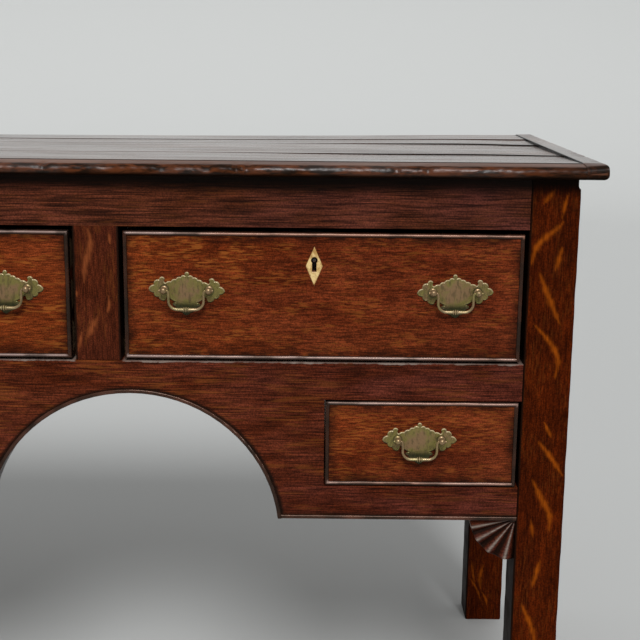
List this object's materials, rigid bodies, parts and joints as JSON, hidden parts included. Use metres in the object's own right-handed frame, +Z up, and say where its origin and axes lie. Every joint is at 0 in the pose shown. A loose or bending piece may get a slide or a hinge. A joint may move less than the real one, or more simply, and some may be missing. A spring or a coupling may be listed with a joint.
{
  "type": "dresser base",
  "caption": "Free-standing oak dresser base: a row of locked drawers over an arched apron with small drawers, on square legs, with swinging brass bail handles.",
  "frame": {"origin": "on the floor under the middle of the top", "axes": "+X along the front to the right, +Y from the front to the back, +Z up"},
  "size_m": [1.752, 0.536, 0.8],
  "materials": {
    "oak": "waxed",
    "oak_upright": "waxed",
    "oak_top": "waxed, worn",
    "oak_inside": "dry, unpolished",
    "aged_brass": "old patina",
    "bone": "polished",
    "iron": "dull"
  },
  "bodies": {
    "carcass": {"apron": "oak", "apron_bead": "oak", "back_boards": "oak_inside", "back_rails": "oak_inside", "bracket_left": "oak", "bracket_right": "oak", "drawer_guides_and_kickers": "oak_inside", "drawer_runners": "oak_inside", "end_panels": "oak", "end_rails": "oak", "leg_back_left": "oak_upright", "leg_back_right": "oak_upright", "leg_front_left": "oak_upright", "leg_front_right": "oak_upright", "muntin_left": "oak_upright", "muntin_right": "oak_upright", "top_board_back": "oak_top", "top_board_front": "oak_top", "top_board_second": "oak_top", "top_board_third": "oak_top", "top_cleat_left": "oak_top", "top_cleat_right": "oak_top", "top_rail": "oak"},
    "drawer_left": {"drawer_left_bead": "oak", "drawer_left_box": "oak_inside", "drawer_left_escutcheon": "bone", "drawer_left_front": "oak", "drawer_left_handle_plates_and_posts": "aged_brass", "drawer_left_lock": "iron"},
    "drawer_left_bail_left": {"drawer_left_bail_left": "aged_brass"},
    "drawer_left_bail_right": {"drawer_left_bail_right": "aged_brass"},
    "drawer_left_lock_bolt": {"drawer_left_lock_bolt": "iron"},
    "drawer_middle": {"drawer_middle_bead": "oak", "drawer_middle_box": "oak_inside", "drawer_middle_escutcheon": "bone", "drawer_middle_front": "oak", "drawer_middle_handle_plates_and_posts": "aged_brass", "drawer_middle_lock": "iron"},
    "drawer_middle_bail_left": {"drawer_middle_bail_left": "aged_brass"},
    "drawer_middle_bail_right": {"drawer_middle_bail_right": "aged_brass"},
    "drawer_middle_lock_bolt": {"drawer_middle_lock_bolt": "iron"},
    "drawer_right": {"drawer_right_bead": "oak", "drawer_right_box": "oak_inside", "drawer_right_escutcheon": "bone", "drawer_right_front": "oak", "drawer_right_handle_plates_and_posts": "aged_brass", "drawer_right_lock": "iron"},
    "drawer_right_bail_left": {"drawer_right_bail_left": "aged_brass"},
    "drawer_right_bail_right": {"drawer_right_bail_right": "aged_brass"},
    "drawer_right_lock_bolt": {"drawer_right_lock_bolt": "iron"},
    "small_drawer_left": {"small_drawer_left_bead": "oak", "small_drawer_left_box": "oak_inside", "small_drawer_left_front": "oak", "small_drawer_left_handle_plates_and_posts": "aged_brass"},
    "small_drawer_left_bail": {"small_drawer_left_bail": "aged_brass"},
    "small_drawer_right": {"small_drawer_right_bead": "oak", "small_drawer_right_box": "oak_inside", "small_drawer_right_front": "oak", "small_drawer_right_handle_plates_and_posts": "aged_brass"},
    "small_drawer_right_bail": {"small_drawer_right_bail": "aged_brass"}
  },
  "joints": [
    {"name": "drawer_left_slide", "type": "slide", "parent": "carcass", "child": "drawer_left", "axis": [0, -1, 0], "range_m": [0, 0.36]},
    {"name": "drawer_left_bail_left_swing", "type": "hinge", "parent": "drawer_left", "child": "drawer_left_bail_left", "pos_m": [-0.705, -0.2552, 0.6443], "axis": [-1, 0, 0], "range_deg": [-8, 170]},
    {"name": "drawer_left_bail_right_swing", "type": "hinge", "parent": "drawer_left", "child": "drawer_left_bail_right", "pos_m": [-0.382, -0.2552, 0.6443], "axis": [-1, 0, 0], "range_deg": [-8, 170]},
    {"name": "drawer_left_lock_bolt_throw", "type": "slide", "parent": "drawer_left", "child": "drawer_left_lock_bolt", "axis": [0, 0, 1], "range_m": [0, 0.014]},
    {"name": "drawer_middle_slide", "type": "slide", "parent": "carcass", "child": "drawer_middle", "axis": [0, -1, 0], "range_m": [0, 0.36]},
    {"name": "drawer_middle_bail_left_swing", "type": "hinge", "parent": "drawer_middle", "child": "drawer_middle_bail_left", "pos_m": [-0.1602, -0.2552, 0.6443], "axis": [-1, 0, 0], "range_deg": [-8, 170]},
    {"name": "drawer_middle_bail_right_swing", "type": "hinge", "parent": "drawer_middle", "child": "drawer_middle_bail_right", "pos_m": [0.1628, -0.2552, 0.6443], "axis": [-1, 0, 0], "range_deg": [-8, 170]},
    {"name": "drawer_middle_lock_bolt_throw", "type": "slide", "parent": "drawer_middle", "child": "drawer_middle_lock_bolt", "axis": [0, 0, 1], "range_m": [0, 0.014]},
    {"name": "drawer_right_slide", "type": "slide", "parent": "carcass", "child": "drawer_right", "axis": [0, -1, 0], "range_m": [0, 0.36]},
    {"name": "drawer_right_bail_left_swing", "type": "hinge", "parent": "drawer_right", "child": "drawer_right_bail_left", "pos_m": [0.3809, -0.2552, 0.6443], "axis": [-1, 0, 0], "range_deg": [-8, 170]},
    {"name": "drawer_right_bail_right_swing", "type": "hinge", "parent": "drawer_right", "child": "drawer_right_bail_right", "pos_m": [0.7039, -0.2552, 0.6443], "axis": [-1, 0, 0], "range_deg": [-8, 170]},
    {"name": "drawer_right_lock_bolt_throw", "type": "slide", "parent": "drawer_right", "child": "drawer_right_lock_bolt", "axis": [0, 0, 1], "range_m": [0, 0.014]},
    {"name": "small_drawer_left_slide", "type": "slide", "parent": "carcass", "child": "small_drawer_left", "axis": [0, -1, 0], "range_m": [0, 0.36]},
    {"name": "small_drawer_left_bail_swing", "type": "hinge", "parent": "small_drawer_left", "child": "small_drawer_left_bail", "pos_m": [-0.666, -0.2552, 0.4585], "axis": [-1, 0, 0], "range_deg": [-8, 170]},
    {"name": "small_drawer_right_slide", "type": "slide", "parent": "carcass", "child": "small_drawer_right", "axis": [0, -1, 0], "range_m": [0, 0.36]},
    {"name": "small_drawer_right_bail_swing", "type": "hinge", "parent": "small_drawer_right", "child": "small_drawer_right_bail", "pos_m": [0.666, -0.2552, 0.4585], "axis": [-1, 0, 0], "range_deg": [-8, 170]}
  ]
}
